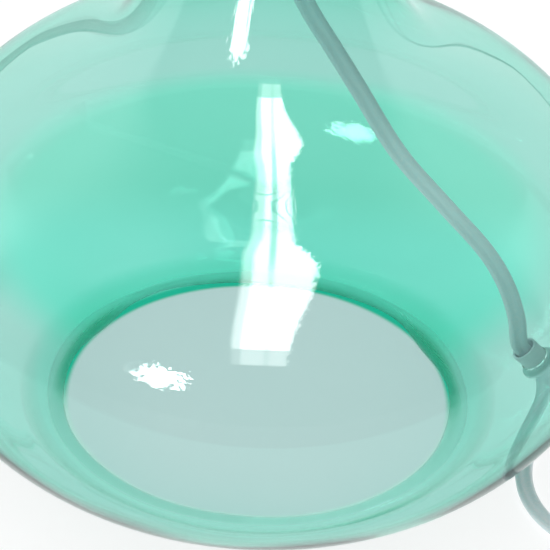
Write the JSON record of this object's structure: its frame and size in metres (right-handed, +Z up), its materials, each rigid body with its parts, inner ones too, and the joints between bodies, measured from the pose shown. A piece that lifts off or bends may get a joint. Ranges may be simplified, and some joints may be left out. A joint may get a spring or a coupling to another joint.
{
  "type": "glass table lamp base",
  "caption": "Squat green blown-glass table lamp base with an E27 lampholder, clear flat flex, in-line rocker switch and two-pin plug.",
  "frame": {"origin": "on the table, at the centre of the footprint of the whole set (lamp with its flex, switch and plug); the lamp axis stands at x = -0.06225, y = 0", "axes": "+Z up, parallel to the lamp axis; -Y to the front; +X towards the side on which the flex leaves the glass"},
  "size_m": [0.3543, 0.2296, 0.292],
  "materials": {
    "green_glass": "transparent sea-green blown glass, glossy, slightly uneven",
    "clear_pvc": "clear flexible PVC over silvery conductors",
    "zinc_steel": "zinc plated steel",
    "brushed_nickel": "brushed nickel plate",
    "brass": "plain rolled brass",
    "black_rubber": "matt black rubber",
    "white_plastic": "moulded white thermoplastic, satin",
    "porcelain": "glazed porcelain",
    "grey_pvc": "grey pin sleeve"
  },
  "bodies": {
    "lamp": {"glass_body": "green_glass", "cord_bush": "clear_pvc", "flex_lamp_side": "clear_pvc", "flex_plug_side": "clear_pvc", "threaded_tube": "zinc_steel", "lower_nut": "zinc_steel", "lower_washer": "zinc_steel", "upper_washer": "zinc_steel", "upper_nut": "zinc_steel", "neck_bung": "black_rubber", "neck_gasket": "black_rubber", "neck_cap": "brushed_nickel", "holder_cap": "white_plastic", "lock_screw": "zinc_steel", "holder_skirt": "white_plastic", "socket_core": "porcelain", "screw_shell": "brass", "terminal_screw_shell": "brass", "terminal_screw_centre": "brass", "conductor_tail_shell": "brass", "conductor_tail_centre": "brass", "switch_lower_shell": "white_plastic", "switch_upper_shell": "white_plastic", "rocker_pin": "zinc_steel", "line_contact": "brass", "load_contact": "brass", "cord_clamp_lamp": "white_plastic", "cord_clamp_plug": "white_plastic", "line_tail_lamp": "brass", "line_tail_plug": "brass", "neutral_link": "clear_pvc", "switch_screw_1": "zinc_steel", "switch_screw_2": "zinc_steel", "plug_body": "white_plastic", "plug_pin_a": "brushed_nickel", "plug_pin_b": "brushed_nickel", "pin_sleeve_a": "grey_pvc", "pin_sleeve_b": "grey_pvc"},
    "lower_ring": {"shade_ring_lower": "white_plastic"},
    "upper_ring": {"shade_ring_upper": "white_plastic"},
    "leaf": {"centre_contact": "brass"},
    "rocker": {"switch_rocker": "white_plastic", "plunger": "brass", "plunger_spring": "zinc_steel"},
    "bridge": {"contact_bridge": "brass"}
  },
  "joints": [
    {"name": "shade_ring_lower_travel", "type": "slide", "parent": "lamp", "child": "lower_ring", "axis": [0, 0, 1], "range_m": [0, 0.008]},
    {"name": "shade_ring_upper_travel", "type": "slide", "parent": "lamp", "child": "upper_ring", "axis": [0, 0, 1], "range_m": [-0.0035, 0.01]},
    {"name": "centre_contact_spring", "type": "hinge", "parent": "lamp", "child": "leaf", "pos_m": [-0.06225, -0.007, 0.2552], "axis": [1, 0, 0], "range_deg": [-9, 0], "stiffness_Nm_per_rad": 0.2},
    {"name": "switch_rocker_tilt", "type": "hinge", "parent": "lamp", "child": "rocker", "pos_m": [0.16375, 0.045, 0.0146], "axis": [1, 0, 0], "range_deg": [0, 20]},
    {"name": "contact_bridge_tilt", "type": "hinge", "parent": "lamp", "child": "bridge", "pos_m": [0.16375, 0.045, 0.0053], "axis": [1, 0, 0], "range_deg": [-8, 0]}
  ],
  "couplings": [
    {"joint": "contact_bridge_tilt", "follows": "switch_rocker_tilt", "ratio": -0.4}
  ]
}
